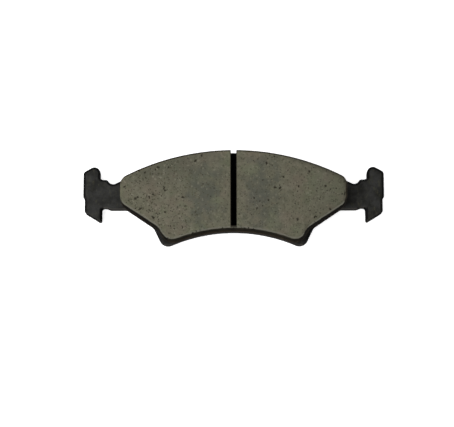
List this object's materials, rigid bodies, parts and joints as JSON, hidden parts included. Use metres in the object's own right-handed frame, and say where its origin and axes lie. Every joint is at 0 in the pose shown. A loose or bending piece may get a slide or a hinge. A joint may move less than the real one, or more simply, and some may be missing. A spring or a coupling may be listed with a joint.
{
  "type": "disc brake pad",
  "caption": "Car disc brake pad: slotted moulded lining on a black steel backing plate with hammerhead ears, and a bonded rubber-coated shim on its back.",
  "frame": {"origin": "middle of the shim's outer face, on which the pad lies", "axes": "+X along the pad from ear to ear, +Y away from the disc's centre towards the outer arc, +Z the normal of the friction face"},
  "size_m": [0.15, 0.0468, 0.0163],
  "materials": {
    "plate_paint": "satin black powder coat on blanked steel",
    "underlayer": "moulded bonding compound, dark brown",
    "friction_lining": "moulded friction compound, ground face, olive grey with dark flecks",
    "shim_adhesive": "pressure-sensitive adhesive film",
    "shim_rubber": "thin rubber coating, matt black",
    "shim_steel": "cold-rolled sheet, bare where it was sheared"
  },
  "bodies": {
    "root": {"backing_plate": "plate_paint", "underlayer_left": "underlayer", "underlayer_right": "underlayer", "friction_block_left": "friction_lining", "friction_block_right": "friction_lining", "shim_adhesive": "shim_adhesive", "shim_rubber_inner": "shim_rubber", "shim_steel_core": "shim_steel", "shim_rubber_outer": "shim_rubber"}
  },
  "joints": []
}
